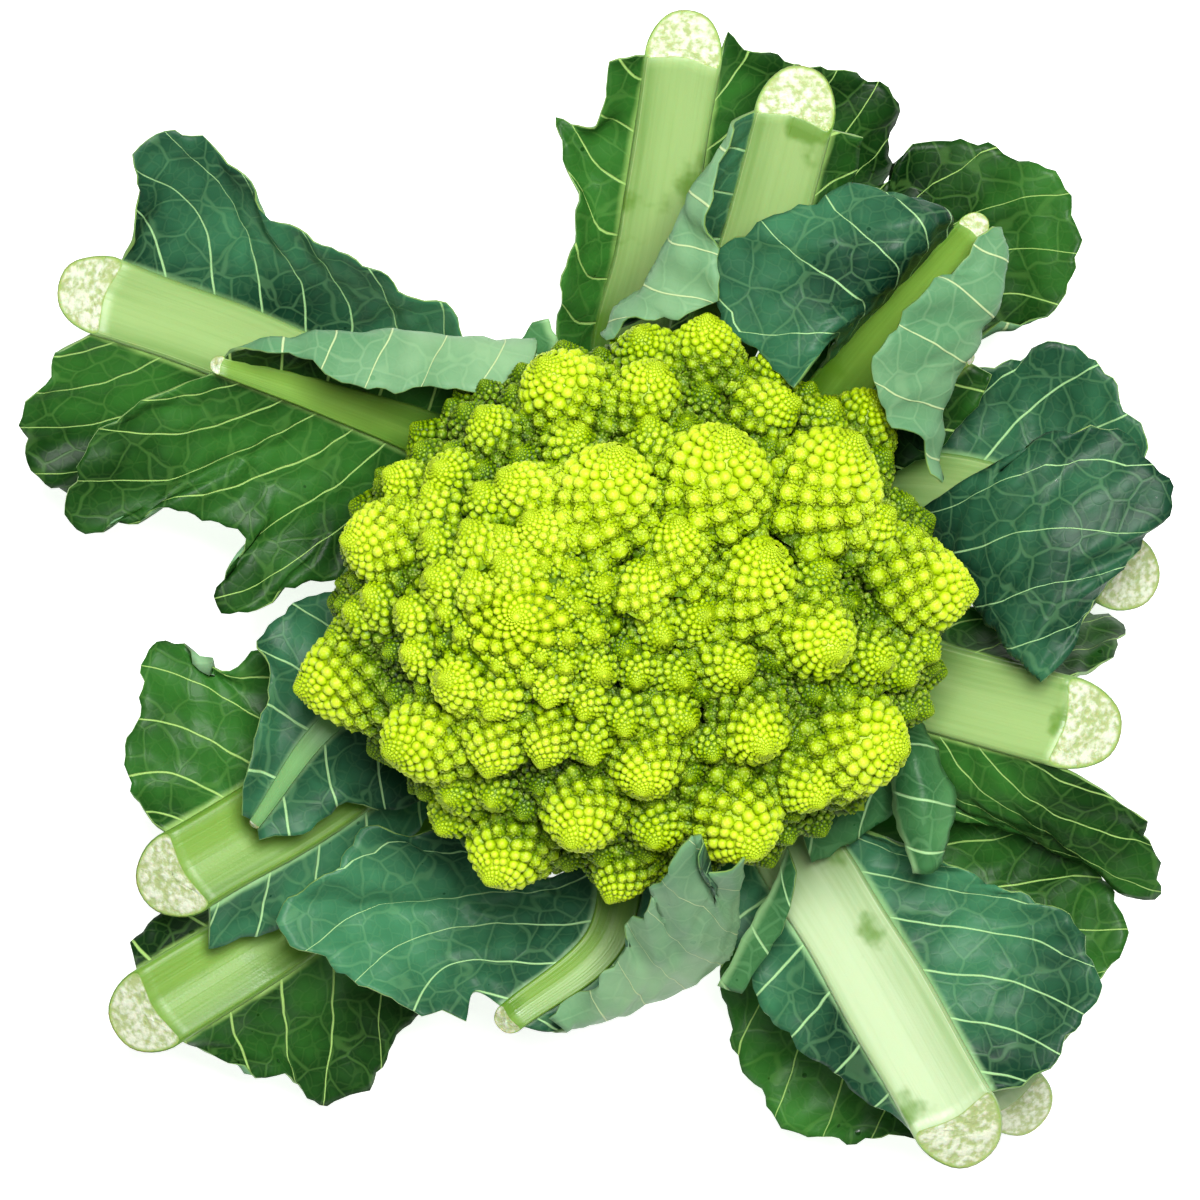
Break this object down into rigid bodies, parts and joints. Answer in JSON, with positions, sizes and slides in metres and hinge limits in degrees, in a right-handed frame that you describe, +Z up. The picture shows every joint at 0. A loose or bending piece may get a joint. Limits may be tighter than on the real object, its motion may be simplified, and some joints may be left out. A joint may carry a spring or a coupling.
{
  "type": "romanesco head",
  "caption": "Romanesco head: a spiral, pointed curd on a cut stalk, in an open bowl of trimmed wrapper leaves with thick pale ribs.",
  "frame": {"origin": "centre of the stalk's cut base, on the surface that the head stands on", "axes": "+Z up through the curd; +Y towards the top edge of the head as seen from above, +X towards its right edge"},
  "size_m": [0.2796, 0.2794, 0.1435],
  "materials": {
    "curd": "waxy, lime green",
    "stalk": "smooth, pale green",
    "rib": "smooth, pale green, moist",
    "blade": "waxy, blue-green",
    "inner_leaf": "waxy, light blue-green"
  },
  "bodies": {
    "root": {"curd": "curd", "stalk": "stalk", "leaf_01_rib": "rib", "leaf_01_blade_left": "blade", "leaf_01_blade_right": "blade", "leaf_02_rib": "rib", "leaf_02_blade_left": "blade", "leaf_02_blade_right": "blade", "leaf_03_rib": "rib", "leaf_03_blade_left": "blade", "leaf_03_blade_right": "blade", "leaf_04_rib": "rib", "leaf_04_blade_left": "blade", "leaf_04_blade_right": "blade", "leaf_05_rib": "rib", "leaf_05_blade_left": "blade", "leaf_05_blade_right": "blade", "leaf_06_rib": "rib", "leaf_06_blade_left": "blade", "leaf_06_blade_right": "blade", "leaf_07_rib": "rib", "leaf_07_blade_left": "blade", "leaf_07_blade_right": "blade", "leaf_08_rib": "rib", "leaf_08_blade_left": "blade", "leaf_08_blade_right": "blade", "leaf_09_rib": "rib", "leaf_09_blade_left": "blade", "leaf_09_blade_right": "blade", "leaf_10_rib": "rib", "leaf_10_blade_left": "blade", "leaf_10_blade_right": "blade", "leaf_11_rib": "rib", "leaf_11_blade_left": "blade", "leaf_11_blade_right": "blade", "leaf_12_rib": "rib", "leaf_12_blade_left": "blade", "leaf_12_blade_right": "blade", "leaf_13_rib": "rib", "leaf_13_blade_left": "blade", "leaf_13_blade_right": "blade", "leaf_14_rib": "rib", "leaf_14_blade_left": "blade", "leaf_14_blade_right": "blade", "inner_leaf_1": "inner_leaf", "inner_leaf_2": "inner_leaf", "inner_leaf_3": "inner_leaf", "inner_leaf_4": "inner_leaf"}
  },
  "joints": []
}
